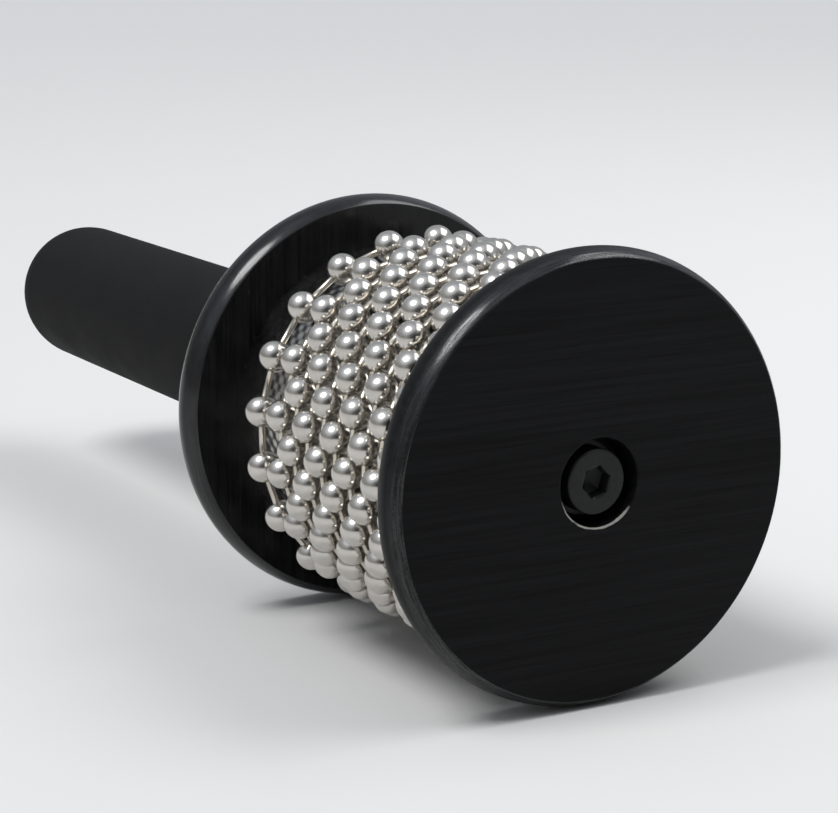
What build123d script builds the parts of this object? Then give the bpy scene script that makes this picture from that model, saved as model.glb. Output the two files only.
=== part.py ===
from build123d import *
import math
import os

# A hand cabasa: a wooden drum between two discs, ball-chain loops round its steel sleeve,
# and a gripped handle.
# Millimetres. It lies on its two discs, the front disc faces -Y and the handle points to +Y.

# End discs
disc_radius = 40.0
disc_thickness = 7.7
rim_radius = 5.6               # arc of the bulging rim, from face to face
rim_corner = 0.25              # easing of the corners between rim and faces
counterbore_diameter = 15.6
counterbore_edge = 0.25        # rounding of the counterbore's mouth
rear_disc_turn = -90.0         # degrees by which the rear disc's grain is turned from the front disc's

# Drum
drum_length = 70.55            # from disc to disc
sleeve_wall = 0.6
seam_gap = 0.5                 # butt seam of the rolled sheet
slip_gap = 0.05                # glue or slip fit between pieces that sit in one another

# Ball-chain loops
loop_count = 10
beads_per_loop = 20
bead_diameter = 6.0
bead_wall = 0.4
chain_pitch = 10.44            # straight distance between neighbouring bead centres
link_diameter = 1.2
link_hole_clearance = 0.15     # round the link, in the bead's hole
knob_diameter = 2.0            # ball at each end of a link, inside the bead
knob_gap = 0.1                 # from the knob to the inside of the bead
loop_clearance = 0.3           # from the beads to the sleeve
front_loop_gap = 1.35          # from the front disc to the first loop's beads
rear_loop_gap = 13.4           # from the last loop's beads to the rear disc
stray_loop_gap = 2.2           # clear space between the last loop and the one before it
first_bead_angle = -0.3        # degrees from +X towards +Z
loop_creep = 0.1               # degrees by which each loop is turned past the one before
stray_turn = 1.0               # further turn of the last loop

# Handle
grip_diameter = 31.8
grip_wall = 3.3
handle_length = 153.55         # from the rear disc to the tip of the dome

# Bolt, washer and insert
bolt_diameter = 6.0
bolt_hole_clearance = 0.3
head_diameter = 11.5
head_height = 4.0
head_edge_radius = 0.4
head_recess = 0.9              # bolt's face below the disc's face
hex_width = 5.0                # across flats
hex_depth = 2.6
hex_angle = 14.0               # degrees from +X towards +Z, to a corner
washer_diameter = 13.0
washer_thickness = 1.0
thread_clearance = 0.05
thread_engagement = 14.0       # bolt inside the handle
tip_clearance = 3.0            # drilled past the bolt's tip
insert_diameter = 10.0
insert_length = 15.0
barb_count = 4
barb_height = 0.8
barb_gap = 0.8                 # plain length between barbs and at the ends

# Places along the axis, counted from the front disc's face
drum_front = disc_thickness
drum_back = drum_front + drum_length
handle_front = drum_back + disc_thickness
overall_length = handle_front + handle_length
head_seat = head_recess + head_height
counterbore_depth = head_seat + washer_thickness

# Sizes that follow
bead_radius = bead_diameter / 2
bead_step = 360 / beads_per_loop
loop_radius = chain_pitch / (2 * math.sin(math.radians(bead_step / 2)))
sleeve_radius = loop_radius - bead_radius - loop_clearance
core_radius = sleeve_radius - sleeve_wall - slip_gap
grip_radius = grip_diameter / 2
dowel_radius = grip_radius - grip_wall - slip_gap
bolt_radius = bolt_diameter / 2
bolt_hole_radius = bolt_radius + bolt_hole_clearance
bolt_length = handle_front + thread_engagement - head_seat
first_loop = drum_front + front_loop_gap + bead_radius
last_loop = drum_back - rear_loop_gap - bead_radius
stray_step = bead_diameter + stray_loop_gap
nest_step = (last_loop - stray_step - first_loop) / (loop_count - 2)

# Shapes are drawn along +Z from the front face at Z 0, then laid down on the discs' edges.
lying = Pos(0, -overall_length / 2, disc_radius) * Rot(X=-90)
upward = (Align.CENTER, Align.CENTER, Align.MIN)


def rod(radius, start, end):
    return Pos(0, 0, start) * Cylinder(radius, end - start, align=upward)


def turned(angle):
    return Rot(Z=-angle)


def round_disc(start):
    # The rim is an arc from face to face, turned about the axis.
    half = disc_thickness / 2
    end = start + disc_thickness
    face_radius = disc_radius - rim_radius + math.sqrt(rim_radius**2 - half**2)
    rim = ThreePointArc((face_radius, 0, start), (disc_radius, 0, start + half), (face_radius, 0, end))
    sides = Polyline((face_radius, 0, end), (0, 0, end), (0, 0, start), (face_radius, 0, start))
    disc = revolve(make_face(rim + sides), Axis.Z)
    corners = disc.edges().filter_by(GeomType.CIRCLE)
    return fillet(corners, rim_corner)


def front_disc():
    recess = rod(counterbore_diameter / 2, 0, counterbore_depth)
    disc = round_disc(0) - recess
    mouth = disc.faces().sort_by(Axis.Z)[0].inner_wires()[0].edges()
    return fillet(mouth, counterbore_edge) - rod(bolt_hole_radius, 0, drum_front)


def rear_disc():
    disc = round_disc(drum_back) - rod(bolt_hole_radius, drum_back, handle_front)
    return turned(rear_disc_turn) * disc


def drum_core():
    return rod(core_radius, drum_front, drum_back) - rod(bolt_hole_radius, drum_front, drum_back)


def drum_sleeve():
    sheet = rod(sleeve_radius, drum_front, drum_back)
    sheet -= rod(sleeve_radius - sleeve_wall, drum_front, drum_back)
    seam = Pos(0, sleeve_radius, drum_front) * Box(seam_gap, sleeve_radius, drum_length, align=upward)
    return sheet - seam


def domed_rod(radius, start, end):
    return rod(radius, start, end - radius) + Pos(0, 0, end - radius) * Sphere(radius)


def handle_core():
    tip = overall_length - grip_wall - slip_gap
    socket = rod(insert_diameter / 2 + slip_gap, handle_front, handle_front + insert_length)
    pilot = rod(bolt_hole_radius, handle_front, handle_front + thread_engagement + tip_clearance)
    return domed_rod(dowel_radius, handle_front, tip) - socket - pilot


def handle_grip():
    hollow = domed_rod(grip_radius - grip_wall, handle_front, overall_length - grip_wall)
    return domed_rod(grip_radius, handle_front, overall_length) - hollow


def threaded_insert():
    end = handle_front + insert_length
    crest = insert_diameter / 2
    insert = rod(crest - barb_height, handle_front, end)
    barb_step = (insert_length - barb_gap) / barb_count
    for i in range(barb_count):
        start = handle_front + barb_gap + i * barb_step
        barb = Cone(crest, crest - barb_height, barb_step - barb_gap, align=upward)
        insert += Pos(0, 0, start) * barb
    return insert - rod(bolt_radius + thread_clearance, handle_front, end)


def center_bolt():
    head = rod(head_diameter / 2, head_recess, head_seat)
    head = fillet(head.edges().group_by(Axis.Z)[0], head_edge_radius)
    corner_radius = hex_width / (2 * math.cos(math.radians(30)))
    hexagon = turned(hex_angle) * RegularPolygon(corner_radius, 6)
    socket = Pos(0, 0, head_recess) * extrude(hexagon, hex_depth)
    return head - socket + rod(bolt_radius, head_seat, head_seat + bolt_length)


def bolt_washer():
    start = head_seat
    end = start + washer_thickness
    return rod(washer_diameter / 2, start, end) - rod(bolt_hole_radius, start, end)


def bead():
    # A hollow ball at angle 0 of the loop, with a hole towards each neighbour.
    shell = Sphere(bead_radius) - Sphere(bead_radius - bead_wall)
    hole = rod(link_diameter / 2 + link_hole_clearance, 0, bead_diameter)
    for side in (1, -1):
        shell -= Rot(Z=side * bead_step / 2) * Rot(X=-side * 90) * hole
    return Pos(loop_radius, 0, 0) * shell


def link():
    # A dumbbell pin along the chord from the bead at angle 0 to the next one.
    knob_radius = knob_diameter / 2
    knob_place = bead_radius - bead_wall - knob_gap - knob_radius
    half = chain_pitch / 2 - knob_place
    pin = rod(link_diameter / 2, -half, half)
    for end in (half, -half):
        pin += Pos(0, 0, end) * Sphere(knob_radius)
    chord_radius = loop_radius * math.cos(math.radians(bead_step / 2))
    return Rot(Z=bead_step / 2) * Pos(chord_radius, 0, 0) * Rot(X=-90) * pin


def loop_place(index):
    # Nested loops are half a bead step apart; the stray last loop hangs in step with its neighbour.
    stray = index == loop_count - 1
    station = last_loop if stray else first_loop + index * nest_step
    nest_turn = 0 if index % 2 and not stray else bead_step / 2
    own_turn = stray_turn if stray else 0
    return station, first_bead_angle + nest_turn + index * loop_creep + own_turn


def ring_of(shape, index):
    station, angle = loop_place(index)
    turns = [turned(angle + k * bead_step) for k in range(beads_per_loop)]
    return Compound(children=[Pos(0, 0, station) * turn * shape for turn in turns])


def save(node, shape):
    export_step(lying * shape, f"parts/{node}.step")


def main():
    os.makedirs("parts", exist_ok=True)
    fixed = [front_disc, rear_disc, drum_core, drum_sleeve, handle_core, handle_grip]
    fixed += [threaded_insert, center_bolt, bolt_washer]
    for make in fixed:
        save(make.__name__, make())
    one_bead = bead()
    one_link = link()
    for index in range(loop_count):
        save(f"chain_{index + 1:02d}_beads", ring_of(one_bead, index))
        save(f"chain_{index + 1:02d}_links", ring_of(one_link, index))
    print(f"overall length {overall_length:.2f}, loop radius {loop_radius:.3f}, nest step {nest_step:.3f}")


main()
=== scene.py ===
import math
import bpy
import numpy as np
from mathutils import Matrix, Vector


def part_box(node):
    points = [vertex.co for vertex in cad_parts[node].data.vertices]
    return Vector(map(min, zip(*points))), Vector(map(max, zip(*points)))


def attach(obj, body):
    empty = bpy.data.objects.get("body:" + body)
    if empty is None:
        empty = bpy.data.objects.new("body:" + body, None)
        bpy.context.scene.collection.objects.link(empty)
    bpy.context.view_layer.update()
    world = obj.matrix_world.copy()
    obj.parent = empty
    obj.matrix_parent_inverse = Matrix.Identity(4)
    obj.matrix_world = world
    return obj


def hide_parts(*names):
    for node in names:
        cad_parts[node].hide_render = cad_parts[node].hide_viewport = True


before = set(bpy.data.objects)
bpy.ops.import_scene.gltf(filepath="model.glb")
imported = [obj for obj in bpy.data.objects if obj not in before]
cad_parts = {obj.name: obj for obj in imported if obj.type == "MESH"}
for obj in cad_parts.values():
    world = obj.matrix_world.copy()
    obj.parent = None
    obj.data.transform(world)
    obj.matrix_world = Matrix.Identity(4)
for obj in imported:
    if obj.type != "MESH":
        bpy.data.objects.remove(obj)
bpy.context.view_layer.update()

fullTurn = 2 * math.pi
frontLow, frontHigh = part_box("front_disc")
rearLow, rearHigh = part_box("rear_disc")
axisHeight = (frontLow.z + frontHigh.z) / 2  # the drum's axis runs along Y at this height
print("frame loaded:", len(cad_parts), "nodes")


# meshes from arrays

def quadGrid(rows, cols, closeRows=False, closeCols=True):
    # point numbers of the quads of a rows x cols grid; a closed direction joins its last line to its first
    row = np.arange(rows if closeRows else rows - 1)[:, None]
    col = np.arange(cols if closeCols else cols - 1)[None, :]
    nextRow = (row + 1) % rows
    nextCol = (col + 1) % cols
    corners = (row * cols + col, row * cols + nextCol, nextRow * cols + nextCol, nextRow * cols + col)
    return np.stack(np.broadcast_arrays(*corners), axis=-1).reshape(-1, 4)


def poleFan(ring, pole):
    # triangles from one pole point to each edge of a closed ring
    return np.stack([ring, np.roll(ring, -1), np.full(len(ring), pole)], axis=-1)


def turnedPoints(along, radius, angle):
    # turning on the lathe: x = r cos a, y = distance along the axis, z = axis height + r sin a
    along, radius, angle = np.broadcast_arrays(along, radius, angle)
    places = (radius * np.cos(angle), along, axisHeight + radius * np.sin(angle))
    return np.stack(places, axis=-1).reshape(-1, 3)


def cornerArc(alongMid, radiusMid, size, start, end, steps):
    # arc of a section: centre + size (cos t, sin t), t in degrees from start to end
    t = np.radians(np.linspace(start, end, steps))
    return alongMid + size * np.cos(t), radiusMid + size * np.sin(t)


def joinRuns(*runs):
    # a section is a row of runs, each a pair (places along the axis, radii)
    along = np.concatenate([np.atleast_1d(run[0]).astype(float) for run in runs])
    radius = np.concatenate([np.atleast_1d(run[1]).astype(float) for run in runs])
    return along, radius


def allRound(row, turns):
    # a column of values, the same at every angle
    return np.repeat(row[:, None], turns, axis=1)


def addPiece(name, points, faces, body, finish, nodes, sharp, values=None):
    # faces is a list of index arrays, one for each face size; all are flipped if the volume, summed over
    # fans of triangles from each face's first corner, comes out negative
    points = np.asarray(points, dtype=np.float64)
    middle = points.mean(axis=0)
    volume = 0.0
    for group in faces:
        first = points[group[:, 0]] - middle
        for k in range(1, group.shape[1] - 1):
            second = points[group[:, k]] - middle
            third = points[group[:, k + 1]] - middle
            volume += float(np.einsum("ij,ij->", first, np.cross(second, third)))
    if volume < 0:
        faces = [group[:, ::-1] for group in faces]
    corners = np.concatenate([group.ravel() for group in faces]).astype(np.int32)
    sizes = np.concatenate([np.full(len(group), group.shape[1]) for group in faces])
    starts = np.concatenate([[0], np.cumsum(sizes)[:-1]]).astype(np.int32)
    mesh = bpy.data.meshes.new(name)
    mesh.vertices.add(len(points))
    mesh.vertices.foreach_set("co", points.astype(np.float32).ravel())
    mesh.loops.add(len(corners))
    mesh.loops.foreach_set("vertex_index", corners)
    mesh.polygons.add(len(sizes))
    mesh.polygons.foreach_set("loop_start", starts)
    mesh.polygons.foreach_set("use_smooth", np.ones(len(sizes), dtype=bool))
    for key, value in (values or {}).items():
        layer = mesh.attributes.new(key, "FLOAT", "POINT")
        layer.data.foreach_set("value", np.asarray(value, dtype=np.float32).ravel())
    mesh.update(calc_edges=True)
    mesh.validate()
    mesh.set_sharp_from_angle(angle=math.radians(sharp))
    mesh.materials.append(finish)
    piece = bpy.data.objects.new(name, mesh)
    bpy.context.scene.collection.objects.link(piece)
    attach(piece, body)
    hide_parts(*nodes)


# finishes

def put(tree, kind, inputs=None, **settings):
    # one node; an input that is a socket is linked, anything else becomes the socket's own value
    node = tree.nodes.new(kind)
    for key, value in settings.items():
        setattr(node, key, value)
    for key, value in (inputs or {}).items():
        if isinstance(value, bpy.types.NodeSocket):
            tree.links.new(value, node.inputs[key])
        else:
            node.inputs[key].default_value = value
    return node


def newFinish(name):
    # an empty material with its shader, and the piece's own coordinates in metres
    material = bpy.data.materials.new(name)
    material.use_nodes = True
    tree = material.node_tree
    tree.nodes.clear()
    shader = put(tree, "ShaderNodeBsdfPrincipled")
    put(tree, "ShaderNodeOutputMaterial", {"Surface": shader.outputs["BSDF"]})
    place = put(tree, "ShaderNodeTexCoord").outputs["Object"]
    return material, tree, shader, place


def noise(tree, place, scale=1.0, detail=2.0, rough=0.5, stretch=None, warp=0.0):
    # cloudy noise; stretch gives cells per metre along X, Y and Z
    if stretch:
        place = put(tree, "ShaderNodeMapping", {"Vector": place, "Scale": stretch}).outputs["Vector"]
    inputs = {"Vector": place, "Scale": scale, "Detail": detail, "Roughness": rough, "Distortion": warp}
    return put(tree, "ShaderNodeTexNoise", inputs).outputs["Fac"]


def spread(tree, value, low, high, toLow=0.0, toHigh=1.0):
    # the range low to high is stretched to toLow to toHigh, and what lies outside is cut off
    inputs = {"Value": value, "From Min": low, "From Max": high, "To Min": toLow, "To Max": toHigh}
    return put(tree, "ShaderNodeMapRange", inputs).outputs["Result"]


def maths(tree, operation, first, second):
    return put(tree, "ShaderNodeMath", {0: first, 1: second}, operation=operation).outputs["Value"]


def mixed(tree, first, second, share):
    # first x share + second x the rest
    parts = maths(tree, "MULTIPLY", first, share), maths(tree, "MULTIPLY", second, 1 - share)
    return maths(tree, "ADD", *parts)


def blendColour(tree, factor, first, second):
    # inputs 6 and 7 and output 2 are the mix node's colour sockets
    inputs = {0: factor, 6: first, 7: second}
    return put(tree, "ShaderNodeMix", inputs, data_type="RGBA").outputs[2]


def rgb(red, green, blue):
    return (red, green, blue, 1.0)


def emboss(tree, height, distance, strength=1.0):
    inputs = {"Height": height, "Distance": distance, "Strength": strength}
    return put(tree, "ShaderNodeBump", inputs).outputs["Normal"]


def attribute(tree, name):
    return put(tree, "ShaderNodeAttribute", attribute_name=name).outputs["Fac"]


def wire(tree, shader, **sockets):
    names = {"colour": "Base Color", "roughness": "Roughness", "normal": "Normal", "coat": "Coat Weight"}
    for key, value in sockets.items():
        tree.links.new(value, shader.inputs[names[key]])


satinWood = dict(fibre=(22, 900, 900), band=(5, 70, 70), pore=(70, 2600, 2600),
                 fibreShare=0.7, toneCut=(0.34, 0.68), poreCut=(0.60, 0.72), poreShade=0.6, poreDip=0.5,
                 dark=rgb(0.0022, 0.0023, 0.0026), light=rgb(0.0095, 0.0100, 0.0110),
                 gloss=(0.30, 0.70), rough=(0.34, 0.48), specular=0.08, relief=0.000035,
                 coat=1.0, coatRough=0.17, streak=(150, 4500, 150), streakShare=0.55, fleck=5200,
                 flecks=(0.38, 0.58))
glossWood = dict(satinWood, fibre=(900, 900, 22), band=(70, 70, 5), pore=(2600, 2600, 70),
                 rough=(0.14, 0.24), specular=0.20, relief=0.000018, coat=0.8, flecks=(0.25, 0.65))
# pale mouth of the recess: partly stain rubbed off, partly a painted highlight on the lower and left lip,
# which face the lamps
wornAndLitMouth = dict(colour=rgb(0.30, 0.285, 0.26), patch=420, patchMiddle=0.5, cut=(0.45, 0.75), addedRough=0.2)


def stainedWood(name, look, wornAndLit=False):
    # black stain: long fibres across the disc, slow bands and short pores; the fibres also set the gloss and
    # the relief, and streaks and flecks of clear lacquer lie on the rim
    material, tree, shader, place = newFinish(name)
    fibre = noise(tree, place, detail=4.0, rough=0.62, stretch=look["fibre"], warp=0.25)
    band = noise(tree, place, stretch=look["band"], warp=0.6)
    pore = spread(tree, noise(tree, place, rough=0.55, stretch=look["pore"]), *look["poreCut"])
    tone = spread(tree, mixed(tree, fibre, band, look["fibreShare"]), *look["toneCut"])
    colour = blendColour(tree, tone, look["dark"], look["light"])
    colour = blendColour(tree, maths(tree, "MULTIPLY", pore, look["poreShade"]), colour, look["dark"])
    roughness = spread(tree, fibre, *look["gloss"], *look["rough"])
    height = maths(tree, "SUBTRACT", fibre, maths(tree, "MULTIPLY", pore, look["poreDip"]))
    # paler colour round the mouth: rubbed-off stain plus a painted highlight on the lower and left lip
    if wornAndLit:
        patch = noise(tree, place, wornAndLitMouth["patch"], detail=3.0, rough=0.6)
        patch = maths(tree, "SUBTRACT", patch, wornAndLitMouth["patchMiddle"])
        bareAndLit = spread(tree, maths(tree, "ADD", attribute(tree, "edgeWearAndHighlight"), patch), *wornAndLitMouth["cut"])
        colour = blendColour(tree, bareAndLit, colour, wornAndLitMouth["colour"])
        roughness = maths(tree, "ADD", roughness, maths(tree, "MULTIPLY", bareAndLit, wornAndLitMouth["addedRough"]))
    streak = noise(tree, place, detail=3.0, rough=0.6, stretch=look["streak"])
    speck = noise(tree, place, look["fleck"], rough=0.6)
    lacquer = mixed(tree, streak, speck, look["streakShare"])
    lacquer = spread(tree, lacquer, *look["flecks"], 0.0, look["coat"])
    lacquer = maths(tree, "MULTIPLY", attribute(tree, "rimPolish"), lacquer)
    shader.inputs["Specular IOR Level"].default_value = look["specular"]
    shader.inputs["Coat Roughness"].default_value = look["coatRough"]
    wire(tree, shader, colour=colour, roughness=roughness, coat=lacquer,
         normal=emboss(tree, height, look["relief"]))
    return material


plainWood = dict(dark=rgb(0.36, 0.22, 0.11), light=rgb(0.62, 0.45, 0.27), fibre=(700, 18, 700),
                 cut=(0.30, 0.70), rough=(0.55, 0.75), relief=0.00004)


def turnedWood(name):
    # bare turned wood: fibres along Y in two browns
    material, tree, shader, place = newFinish(name)
    fibre = noise(tree, place, detail=5.0, rough=0.6, stretch=plainWood["fibre"], warp=0.4)
    tone = spread(tree, fibre, *plainWood["cut"])
    wire(tree, shader, colour=blendColour(tree, tone, plainWood["dark"], plainWood["light"]),
         roughness=spread(tree, fibre, *plainWood["cut"], *plainWood["rough"]),
         normal=emboss(tree, fibre, plainWood["relief"]))
    return material


gripFoam = dict(dark=rgb(0.004, 0.004, 0.0042), light=rgb(0.010, 0.010, 0.0105), cell=2600, patch=90,
                cellShare=0.5, toneCut=(0.35, 0.65), gloss=(0.3, 0.7), rough=(0.68, 0.82), specular=0.12,
                relief=0.00012, reliefStrength=0.6)


def mattGrip(name):
    # foamed rubber: fine closed cells, cloudy patches, almost no gloss
    material, tree, shader, place = newFinish(name)
    cell = noise(tree, place, gripFoam["cell"], rough=0.6)
    patch = noise(tree, place, gripFoam["patch"], detail=3.0, rough=0.55)
    tone = spread(tree, mixed(tree, cell, patch, gripFoam["cellShare"]), *gripFoam["toneCut"])
    shader.inputs["Specular IOR Level"].default_value = gripFoam["specular"]
    wire(tree, shader, colour=blendColour(tree, tone, gripFoam["dark"], gripFoam["light"]),
         roughness=spread(tree, patch, *gripFoam["gloss"], *gripFoam["rough"]),
         normal=emboss(tree, cell, gripFoam["relief"], gripFoam["reliefStrength"]))
    return material


anyMetal = dict(metal=1.0, specular=0.5, cloudShare=0.6, toneCut=(0.35, 0.65), gloss=(0.3, 0.7),
                reliefStrength=0.5)
beadNickel = dict(anyMetal, dark=rgb(0.55, 0.525, 0.485), light=rgb(0.65, 0.62, 0.58), rough=(0.18, 0.25),
                  cloud=260, scratch=(900, 900, 900), relief=0.000004)
linkNickel = dict(anyMetal, dark=rgb(0.58, 0.53, 0.45), light=rgb(0.70, 0.65, 0.57), rough=(0.16, 0.28),
                  cloud=400, scratch=(1500, 1500, 1500), relief=0.000006)
sleeveSteel = dict(anyMetal, dark=rgb(0.40, 0.385, 0.36), light=rgb(0.54, 0.525, 0.495), rough=(0.15, 0.25),
                   cloud=120, scratch=(300, 2600, 300), relief=0.000006)
boltOxide = dict(anyMetal, dark=rgb(0.007, 0.0073, 0.0073), light=rgb(0.015, 0.0155, 0.0155),
                 rough=(0.30, 0.42), cloud=700, scratch=(1800, 1800, 1800), relief=0.000008,
                 metal=0.0, specular=0.2)    # the oxide skin hides the metal
insertBrass = dict(anyMetal, dark=rgb(0.50, 0.35, 0.14), light=rgb(0.72, 0.55, 0.27), rough=(0.22, 0.36),
                   cloud=500, scratch=(400, 3000, 400), relief=0.000005)


def metalFinish(name, look):
    # plated or raw metal: cloudy tone, fine scratches one way, gloss that follows both
    material, tree, shader, place = newFinish(name)
    cloud = noise(tree, place, look["cloud"], detail=3.0, rough=0.55)
    scratch = noise(tree, place, detail=3.0, rough=0.6, stretch=look["scratch"])
    mix = mixed(tree, cloud, scratch, look["cloudShare"])
    shader.inputs["Metallic"].default_value = look["metal"]
    shader.inputs["Specular IOR Level"].default_value = look["specular"]
    tone = spread(tree, mix, *look["toneCut"])
    wire(tree, shader, colour=blendColour(tree, tone, look["dark"], look["light"]),
         roughness=spread(tree, mix, *look["gloss"], *look["rough"]),
         normal=emboss(tree, scratch, look["relief"], look["reliefStrength"]))
    return material


frontFinish = stainedWood("satinBlackStain", satinWood, wornAndLit=True)
rearFinish = stainedWood("glossBlackStain", glossWood)
drumFinish = turnedWood("bareDrumWood")
gripFinish = mattGrip("mattGripFoam")
beadFinish = metalFinish("polishedNickel", beadNickel)
linkFinish = metalFinish("linkNickelPlate", linkNickel)
sleeveFinish = metalFinish("embossedSheetSteel", sleeveSteel)
boltFinish = metalFinish("blackOxide", boltOxide)
brassFinish = metalFinish("machinedBrass", insertBrass)
print("finishes made")


# end discs; metres, and degrees for angles

discShape = dict(turns=640, rimArc=0.0056, rimCorner=0.00025, rimSteps=44, cornerSteps=6, arcGap=1,
                 support=0.00006, bore=0.0033, sharpAngle=40,
                 rimBand=0.3, polishedShare=0.24, polishFade=0.30, polishLeast=0.04,
                 recessRadius=0.0078, recessDepth=0.0059, mouthRound=0.00028, mouthSteps=7,
                 mouthWander=0.00007,
                 mouthWaves=((5, 1.0, 0.4), (13, 0.6, 2.0), (29, 0.4, 0.0)),    # waves a turn, height, phase
                 # the mouth's pale ring: even wear and a ripple, plus painted highlight shares on the lower
                 # and left lip
                 wearAndHighlightDepth=0.00025, litLowShare=0.75, wearEven=0.10, litLeftShare=0.25, wearWave=(7, 0.10, 1.0))


def rimPolish(along, radius, front, rim):
    # lacquer on the bulging rim: full next to the face, then falling with depth to a trace; none on the faces
    depth = (along - front) / discShape["rimArc"]
    outside = radius > rim - discShape["rimBand"] * discShape["rimArc"]
    fading = 1 - (depth - discShape["polishedShare"]) / discShape["polishFade"]
    return np.where(outside, np.clip(fading, discShape["polishLeast"], 1), 0)


def discSection(front, back, rim, inner):
    # section of a disc from the bore's back edge over the back, round the rim and in over the face: the rim
    # is one arc, and a small arc at each corner touches both the rim's arc from inside and the flat
    arc, corner, support = discShape["rimArc"], discShape["rimCorner"], discShape["support"]
    bore, gap = discShape["bore"], discShape["arcGap"]
    half = (back - front) / 2
    mid, arcMid = (front + back) / 2, rim - arc
    lift = math.sqrt((arc - corner) ** 2 - (half - corner) ** 2)
    cornerMid = arcMid + lift
    meet = math.degrees(math.atan2(lift, half - corner))
    return joinRuns((back, bore),
                    (np.full(2, back), [(bore + rim) / 2, cornerMid - support]),
                    cornerArc(back - corner, cornerMid, corner, 0, meet, discShape["cornerSteps"]),
                    cornerArc(mid, arcMid, arc, meet + gap, 180 - gap - meet, discShape["rimSteps"]),
                    cornerArc(front + corner, cornerMid, corner, 180 - meet, 180, discShape["cornerSteps"]),
                    (np.full(3, front), [cornerMid - support, (inner + rim) / 2, inner + support]))


def waveSum(angle, *waves):
    # sum of height x sin(count x angle + phase)
    return sum(height * np.sin(count * angle + phase) for count, height, phase in waves)


def mouthWearAndHighlight(angle):
    # stain rubbed off round the recess as an even share and a ripple, plus a painted highlight: a share of
    # -sin for the bottom and of -cos for the left, the sides of the lip that face the lamps
    low = np.clip(-np.sin(angle) * discShape["litLowShare"] + discShape["wearEven"], 0, 1)
    left = discShape["litLeftShare"] * np.clip(-np.cos(angle), 0, 1)
    return np.clip(low + left + waveSum(angle, discShape["wearWave"]), 0, 1)


def makeFrontDisc():
    # the disc's section, then the recess: rounded mouth that wanders a little, wall, floor and bore, all
    # turned once; the ring just below the mouth keeps the wear and the painted highlight on the rounding
    front, back, rim = frontLow.y, frontHigh.y, (frontHigh.x - frontLow.x) / 2
    turns, bore = discShape["turns"], discShape["bore"]
    recess, deep = discShape["recessRadius"], front + discShape["recessDepth"]
    angle = np.linspace(0, fullTurn, turns, endpoint=False)
    wander = discShape["mouthWander"] * waveSum(angle, *discShape["mouthWaves"])
    mouth = (discShape["mouthRound"] + wander)[None, :]
    along, radius = discSection(front, back, rim, recess + discShape["mouthRound"])
    t = np.radians(np.linspace(180, 270, discShape["mouthSteps"]))[:, None]
    mouthAlong = front + mouth + mouth * np.cos(t)
    mouthRadius = recess + mouth + mouth * np.sin(t)
    below = front + discShape["mouthRound"] + discShape["wearAndHighlightDepth"]
    tailAlong, tailRadius = joinRuns((below, recess), (deep, recess), (deep, bore))
    along = np.concatenate([allRound(along, turns), mouthAlong, allRound(tailAlong, turns)])
    radius = np.concatenate([allRound(radius, turns), mouthRadius, allRound(tailRadius, turns)])
    # the mouth's rows carry the rubbed-off wear and the painted highlight
    wearAndHighlight = np.zeros_like(along)
    tail = len(wearAndHighlight) - len(tailAlong)
    wearAndHighlight[tail - discShape["mouthSteps"]:tail] = mouthWearAndHighlight(angle)[None, :]
    points = turnedPoints(along, radius, angle[None, :])
    faces = [quadGrid(len(along), turns, closeRows=True)]
    values = {"edgeWearAndHighlight": wearAndHighlight, "rimPolish": rimPolish(along, radius, front, rim)}
    addPiece("frontDisc", points, faces, "instrument", frontFinish, ["front_disc"],
             discShape["sharpAngle"], values)


def makeRearDisc():
    # the same section with a plain bore instead of the recess
    front, back, rim = rearLow.y, rearHigh.y, (rearHigh.x - rearLow.x) / 2
    turns, bore = discShape["turns"], discShape["bore"]
    angle = np.linspace(0, fullTurn, turns, endpoint=False)
    along, radius = joinRuns(discSection(front, back, rim, bore), (front, bore))
    points = turnedPoints(along[:, None], radius[:, None], angle[None, :])
    faces = [quadGrid(len(along), turns, closeRows=True)]
    values = {"rimPolish": allRound(rimPolish(along, radius, front, rim), turns)}
    addPiece("rearDisc", points, faces, "instrument", rearFinish, ["rear_disc"],
             discShape["sharpAngle"], values)


makeFrontDisc()
makeRearDisc()
print("end discs made")


# drum sleeve

sleeveShape = dict(wall=0.0006, seamGap=0.0005, seamAngle=-90, rows=120, cols=320, cell=0.0030,
                   dimple=0.00016, sharpAngle=50)


def makeSleeve():
    # sheet rolled from seam to seam; the outside is dimpled by sin x sin over the unrolled sheet, the inside
    # is plain, and a strip closes each edge at the seam
    low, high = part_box("drum_sleeve")
    outer = (high.x - low.x) / 2
    inner = outer - sleeveShape["wall"]
    rows, cols, cell = sleeveShape["rows"], sleeveShape["cols"], sleeveShape["cell"]
    half = sleeveShape["seamGap"] / 2 / outer
    seam = math.radians(sleeveShape["seamAngle"])
    angle = np.linspace(seam + half, seam + fullTurn - half, cols)
    along = np.linspace(low.y, high.y, rows)
    cellsRound = np.round(fullTurn * outer / cell)
    wave = np.sin(fullTurn * along / cell)[:, None] * np.sin(cellsRound * angle)[None, :]
    skin = outer - sleeveShape["dimple"] * (0.5 - 0.5 * wave)
    alongAll = np.concatenate([along, along[::-1]])
    radiusAll = np.concatenate([skin, np.full((rows, cols), inner)])
    points = turnedPoints(alongAll[:, None], radiusAll, angle[None, :])
    row = np.arange(rows - 1)
    twin = 2 * rows - 1 - row                # the inside row at the same place along the axis
    strip = np.stack([row * cols, (row + 1) * cols, (twin - 1) * cols, twin * cols], axis=-1)
    faces = [quadGrid(2 * rows, cols, closeRows=True, closeCols=False), strip, strip[:, ::-1] + cols - 1]
    addPiece("drumSleeve", points, faces, "instrument", sleeveFinish, ["drum_sleeve"],
             sleeveShape["sharpAngle"])


makeSleeve()
print("drum sleeve made")


# handle grip

gripShape = dict(wall=0.0033, turns=192, rows=150, domeRows=40, lip=0.0008, lipSteps=8, sharpAngle=60,
                 ripple=0.00005, rippleRate=170, rippleSides=2, ripplePhase=0.7, outsideFrom=1.001)


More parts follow.
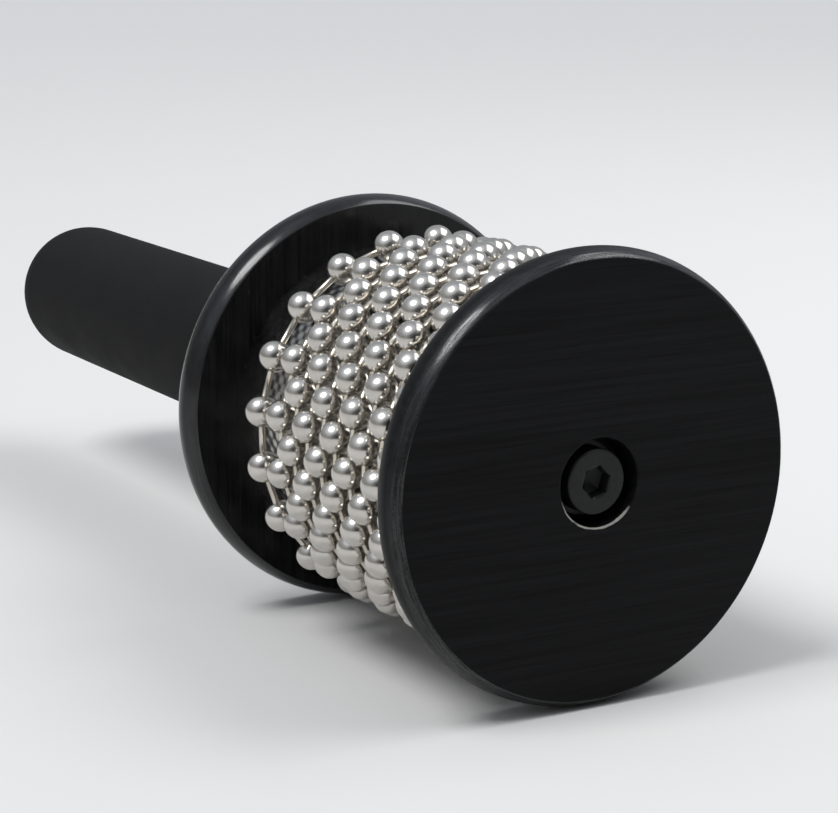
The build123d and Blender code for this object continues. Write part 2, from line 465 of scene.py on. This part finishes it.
def makeGrip():
    # one strip from the inner pole over the inside, round the open end, along the outside and over the dome;
    # the outside sinks by sin along x sin round
    low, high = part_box("handle_grip")
    look = gripShape
    outer = (high.x - low.x) / 2
    inner = outer - look["wall"]
    lip = look["lip"]
    domeMid = high.y - outer
    t = np.radians(np.linspace(0, 90, look["domeRows"]))
    innerDome = (domeMid + inner * np.cos(t[1:]), inner * np.sin(t[1:]))
    outerDome = (domeMid + outer * np.sin(t[1:-1]), outer * np.cos(t[1:-1]))
    shaft = np.linspace(low.y + 2 * lip, domeMid, look["rows"])
    along, radius = joinRuns(innerDome, (low.y, inner),
                             cornerArc(low.y + lip, outer - lip, lip, 180, 90, look["lipSteps"]),
                             (shaft, np.full(len(shaft), outer)), outerDome)
    angle = np.linspace(0, fullTurn, look["turns"], endpoint=False)
    swell = np.sin(look["rippleRate"] * along)[:, None]
    swell = swell * np.sin(look["rippleSides"] * angle + look["ripplePhase"])[None, :]
    outside = (radius > inner * look["outsideFrom"])[:, None]
    skin = radius[:, None] + np.where(outside, look["ripple"] * (swell - 1) * 0.5, 0)
    points = turnedPoints(along[:, None], skin, angle[None, :])
    poles = np.array([[0, domeMid + inner, axisHeight], [0, high.y, axisHeight]])
    count, turns = len(points), look["turns"]
    faces = [quadGrid(len(along), turns),
             poleFan(np.arange(turns)[::-1], count),
             poleFan(np.arange(count - turns, count), count + 1)]
    addPiece("handleGrip", np.concatenate([points, poles]), faces, "instrument", gripFinish,
             ["handle_grip"], look["sharpAngle"])


makeGrip()
print("handle grip made")


# bolt

boltShape = dict(turns=144, hexWidth=0.005, hexAngle=14.0, hexDepth=0.0026, coneDepth=0.0008,
                 hexChamfer=0.00018, chamferLip=0.00004, floorEase=0.00005, floorTaper=0.98, support=0.00006,
                 headHeight=0.004, headRound=0.0004, headSteps=9, seatEase=0.0001,
                 knurls=36, knurlDepth=0.00012, knurlMargin=0.0004, knurlRows=6,
                 shank=0.003, shankRings=(0.002, 0.0005), threadLength=0.024, threadPitch=0.001,
                 threadDepth=0.00055, rowsPerPitch=6, tipChamfer=0.0007, sharpAngle=35)


def makeBolt():
    # rows from the socket's cone over the hexagon, face, knurled side and shank to the tip; the hexagon's
    # radius is half its width over cos of the angle from the middle of a side, and the thread is a ridge that
    # climbs a pitch a turn
    low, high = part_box("center_bolt")
    look = boltShape
    head, shank, edge = (high.x - low.x) / 2, look["shank"], look["headRound"]
    top, tip = low.y, high.y
    seat, floor = top + look["headHeight"], top + look["hexDepth"]
    corner = math.radians(look["hexAngle"])
    angle = corner + np.linspace(0, fullTurn, look["turns"], endpoint=False)
    hexagon = look["hexWidth"] / 2 / np.cos(np.mod(angle - corner, fullTurn / 6) - fullTurn / 12)
    ones = np.ones_like(angle)
    chamferRing = ones * (look["hexWidth"] / 2 / math.cos(fullTurn / 12) + look["chamferLip"])
    knurl = look["knurlDepth"] * (0.5 - 0.5 * np.cos(look["knurls"] * angle))
    rows = [(floor, hexagon * look["floorTaper"]), (floor - look["floorEase"], hexagon),
            (top + look["hexChamfer"], hexagon), (top, chamferRing), (top, chamferRing + look["support"]),
            (top, ones * (head - edge - look["support"]))]
    headEdge = cornerArc(top + edge, head - edge, edge, 180, 90, look["headSteps"])
    rows += [(y, ones * r) for y, r in zip(*headEdge)]
    margin = look["knurlMargin"]
    rows += [(y, head - knurl) for y in np.linspace(top + edge + margin, seat - margin, look["knurlRows"])]
    ease = look["seatEase"]
    rows += [(seat - ease, ones * head), (seat, ones * (head - ease)), (seat, ones * shank)]
    threadStart, threadEnd = tip - look["threadLength"], tip - look["tipChamfer"]
    rows += [(threadStart - before, ones * shank) for before in look["shankRings"]]
    steps = int(round(look["threadLength"] / look["threadPitch"] * look["rowsPerPitch"]))
    for y in np.linspace(threadStart, threadEnd, steps):
        turn = np.mod((y - threadStart) / look["threadPitch"] + angle / fullTurn, 1.0)
        rows.append((y, shank - look["threadDepth"] * np.abs(2 * turn - 1)))
    rows.append((tip, ones * (shank - look["tipChamfer"])))
    along = np.array([row[0] for row in rows])[:, None]
    radius = np.stack([row[1] for row in rows])
    points = turnedPoints(along, radius, angle[None, :])
    poles = np.array([[0, floor + look["coneDepth"], axisHeight], [0, tip, axisHeight]])
    count, turns = len(points), look["turns"]
    faces = [quadGrid(len(rows), turns),
             poleFan(np.arange(turns)[::-1], count),
             poleFan(np.arange(count - turns, count), count + 1)]
    addPiece("centerBolt", np.concatenate([points, poles]), faces, "instrument", boltFinish,
             ["center_bolt"], look["sharpAngle"])


makeBolt()
print("bolt made")


# ball-chain loops

chainShape = dict(beadsPerLoop=20, pitch=0.01044, beadRadius=0.003, beadWall=0.0004, holeRadius=0.00075,
                  firstAngle=-0.3, creep=0.1, strayTurn=1.0, sides=32, outerRings=21, innerRings=5,
                  linkRadius=0.0006, knobRadius=0.001, knobGap=0.0001, linkSides=14, knobRings=8,
                  sharpAngle=50)
beadStep = fullTurn / chainShape["beadsPerLoop"]
loopRadius = chainShape["pitch"] / (2 * math.sin(beadStep / 2))
loopCount = sum(1 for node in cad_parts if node.endswith("_beads"))


def loopAngles(index):
    # nested loops lie half a step apart; the last one is in step with its neighbour
    stray = index == loopCount - 1
    nested = 0 if index % 2 and not stray else beadStep / 2
    ownTurn = chainShape["strayTurn"] if stray else 0
    start = math.radians(chainShape["firstAngle"] + index * chainShape["creep"] + ownTurn) + nested
    return start + beadStep * np.arange(chainShape["beadsPerLoop"])


def repeatRound(shape, faces, angles, station):
    # one shape given as (outwards, along the loop, along the axis) is set at every angle of the loop:
    # x = (R + out) cos a - forward sin a, z = axis height + (R + out) sin a + forward cos a
    out, forward, axial = shape[:, 0], shape[:, 1], shape[:, 2]
    cos, sin = np.cos(angles)[:, None], np.sin(angles)[:, None]
    x = (loopRadius + out) * cos - forward * sin
    z = axisHeight + (loopRadius + out) * sin + forward * cos
    y = np.broadcast_to(station + axial, x.shape)
    points = np.stack([x, y, z], axis=-1).reshape(-1, 3)
    offsets = np.arange(len(angles)) * len(shape)
    return points, [(group[None] + offsets[:, None, None]).reshape(-1, group.shape[1]) for group in faces]


def beadShape():
    # hollow ball: rings R (cos p, sin p) from hole to hole outside, back again inside; each ring leans so
    # that both holes face the neighbours
    look = chainShape
    ball, inside = look["beadRadius"], look["beadRadius"] - look["beadWall"]
    outerEdge = math.asin(look["holeRadius"] / ball)
    innerEdge = math.asin(look["holeRadius"] / inside)
    outerPolar = np.linspace(outerEdge, math.pi - outerEdge, look["outerRings"])
    innerPolar = np.linspace(math.pi - innerEdge, innerEdge, look["innerRings"])
    polar = np.concatenate([outerPolar, innerPolar])
    size = np.concatenate([np.full(len(outerPolar), ball), np.full(len(innerPolar), inside)])
    lean = -beadStep / 2 * (1 - 2 * polar / math.pi)
    turn = np.linspace(0, fullTurn, look["sides"], endpoint=False)[None, :]
    out = (size * np.sin(polar))[:, None] * np.cos(turn)
    axial = (size * np.sin(polar))[:, None] * np.sin(turn)
    along = np.broadcast_to((size * np.cos(polar))[:, None], out.shape)
    cos, sin = np.cos(lean)[:, None], np.sin(lean)[:, None]
    shape = np.stack([out * cos + along * sin, along * cos - out * sin, axial], axis=-1).reshape(-1, 3)
    return shape, [quadGrid(len(polar), look["sides"], closeRows=True)]


def linkShape():
    # dumbbell pin on the chord to the next bead: a thin neck between two balls, turned about its own line
    look = chainShape
    knob, neck, sides = look["knobRadius"], look["linkRadius"], look["linkSides"]
    knobPlace = look["beadRadius"] - look["beadWall"] - look["knobGap"] - knob
    half = look["pitch"] / 2 - knobPlace
    polar = np.linspace(0, math.pi - math.asin(neck / knob), look["knobRings"] + 1)[1:]
    endAlong, endRadius = half + knob * np.cos(polar), knob * np.sin(polar)
    along = np.concatenate([endAlong, -endAlong[::-1]])
    radius = np.concatenate([endRadius, endRadius[::-1]])
    turn = np.linspace(0, fullTurn, sides, endpoint=False)[None, :]
    out = radius[:, None] * np.cos(turn)
    axial = radius[:, None] * np.sin(turn)
    forward = np.broadcast_to(along[:, None], out.shape)
    pin = np.stack([out, forward, axial], axis=-1).reshape(-1, 3)
    count = len(pin)
    pin = np.concatenate([pin, [[0, half + knob, 0], [0, -half - knob, 0]]])
    faces = [quadGrid(len(along), sides),
             poleFan(np.arange(sides)[::-1], count),
             poleFan(np.arange(count - sides, count), count + 1)]
    pin[:, 0] += loopRadius * math.cos(beadStep / 2) - loopRadius
    return pin, faces


def makeLoops():
    # each loop's beads and its pins, which lie half a step on
    bead, beadFaces = beadShape()
    link, linkFaces = linkShape()
    sharp = chainShape["sharpAngle"]
    for index in range(loopCount):
        number = f"{index + 1:02d}"
        body, beadNode, linkNode = f"loop_{number}", f"chain_{number}_beads", f"chain_{number}_links"
        low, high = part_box(beadNode)
        station = (low.y + high.y) / 2
        angles = loopAngles(index)
        points, faces = repeatRound(bead, beadFaces, angles, station)
        addPiece(f"beads{number}", points, faces, body, beadFinish, [beadNode], sharp)
        points, faces = repeatRound(link, linkFaces, angles + beadStep / 2, station)
        addPiece(f"links{number}", points, faces, body, linkFinish, [linkNode], sharp)


makeLoops()
print("ball-chain loops made:", loopCount)


# solids that stay as they are

keptSolids = dict(drum_core=drumFinish, handle_core=drumFinish,
                  threaded_insert=brassFinish, bolt_washer=boltFinish)
for node, finish in keptSolids.items():
    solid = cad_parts[node]
    solid.data.materials.clear()
    solid.data.materials.append(finish)
print("kept solids finished:", len(keptSolids))


# floor, light and camera

studio = dict(floorSize=60.0, floorColour=rgb(0.60, 0.595, 0.585), aimPoint=(0, -0.08, axisHeight),
              keyFrom=(-0.503, -0.007, 0.864), keyStrength=2.1, keyAngle=26.0, keyDistance=2.0,
              haloSpread=(0.72, 0.98), halo=rgb(0.84, 0.90, 0.98),
              sideFrom=(0.54, -0.19, 0.82), sideDistance=1.1, sideSize=(1.0, 0.55), sidePower=6.0,
              skyHigh=rgb(0.44, 0.475, 0.52), skyLow=rgb(0.26, 0.238, 0.21), skyRise=(-0.05, 0.45),
              roomWay=(-0.25, -0.96, 0.12), roomSpread=(0.55, 0.95), roomShade=rgb(0.05, 0.048, 0.046))


def makeFloor():
    # one large square of plain pale paint
    size = studio["floorSize"]
    corners = [(-size, -size, 0), (size, -size, 0), (size, size, 0), (-size, size, 0)]
    mesh = bpy.data.meshes.new("studioFloor")
    mesh.from_pydata(corners, [], [(0, 1, 2, 3)])
    floor = bpy.data.objects.new("studioFloor", mesh)
    bpy.context.scene.collection.objects.link(floor)
    material = bpy.data.materials.new("studioFloorPaint")
    material.use_nodes = True
    tree = material.node_tree
    tree.nodes.clear()
    matt = put(tree, "ShaderNodeBsdfDiffuse", {"Color": studio["floorColour"]})
    put(tree, "ShaderNodeOutputMaterial", {"Surface": matt.outputs["BSDF"]})
    mesh.materials.append(material)


def hangLamp(data, source, distance):
    # a lamp at that distance from the aim point, towards source, and turned to the aim point
    lamp = bpy.data.objects.new(data.name, data)
    bpy.context.scene.collection.objects.link(lamp)
    away = Vector(source).normalized()
    lamp.location = Vector(studio["aimPoint"]) + away * distance
    lamp.rotation_euler = away.to_track_quat("Z", "Y").to_euler()


def nearness(tree, way, direction):
    # cosine of the angle between a way out into the room and a fixed direction
    return put(tree, "ShaderNodeVectorMath", {0: way, 1: direction}, operation="DOT_PRODUCT").outputs["Value"]


def makeLights():
    # a wide key lamp and a softbox on the right; the room is paler above, dim in front, bright round the key
    key = bpy.data.lights.new("keySun", "SUN")
    key.energy = studio["keyStrength"]
    key.angle = math.radians(studio["keyAngle"])
    hangLamp(key, studio["keyFrom"], studio["keyDistance"])
    side = bpy.data.lights.new("sideSoftbox", "AREA")
    side.shape = "RECTANGLE"
    side.size, side.size_y = studio["sideSize"]
    side.energy = studio["sidePower"]
    hangLamp(side, studio["sideFrom"], studio["sideDistance"])
    world = bpy.data.worlds.new("studioRoom")
    world.use_nodes = True
    tree = world.node_tree
    tree.nodes.clear()
    way = put(tree, "ShaderNodeTexCoord").outputs["Generated"]
    rise = spread(tree, put(tree, "ShaderNodeSeparateXYZ", {0: way}).outputs["Z"], *studio["skyRise"])
    nearRoom = spread(tree, nearness(tree, way, studio["roomWay"]), *studio["roomSpread"])
    nearKey = spread(tree, nearness(tree, way, studio["keyFrom"]), *studio["haloSpread"])
    sky = blendColour(tree, rise, studio["skyLow"], studio["skyHigh"])
    sky = blendColour(tree, nearRoom, sky, studio["roomShade"])
    sky = blendColour(tree, nearKey, sky, studio["halo"])
    room = put(tree, "ShaderNodeBackground", {"Color": sky, "Strength": 1.0})
    put(tree, "ShaderNodeOutputWorld", {"Surface": room.outputs["Background"]})
    bpy.context.scene.world = world


shot = dict(place=(-0.229445, -0.458005, 0.141653), forward=(0.486628, 0.847515, -0.211924),
            right=(0.867213, -0.497938, 0.0), lens=106.63, sensor=36.0, nearest=0.01)


def makeCamera():
    # the camera's own axes in columns: right, up and backwards
    forward = Vector(shot["forward"]).normalized()
    right = Vector(shot["right"]).normalized()
    up = right.cross(forward)
    data = bpy.data.cameras.new("studioCamera")
    data.lens = shot["lens"]
    data.sensor_width = shot["sensor"]
    data.sensor_fit = "HORIZONTAL"
    data.clip_start = shot["nearest"]
    camera = bpy.data.objects.new("studioCamera", data)
    bpy.context.scene.collection.objects.link(camera)
    turn = Matrix((right, up, -forward)).transposed()
    camera.matrix_world = Matrix.Translation(shot["place"]) @ turn.to_4x4()
    bpy.context.scene.camera = camera


makeFloor()
makeLights()
makeCamera()
bpy.context.scene.view_settings.view_transform = "Standard"
print("floor, lights and camera made")
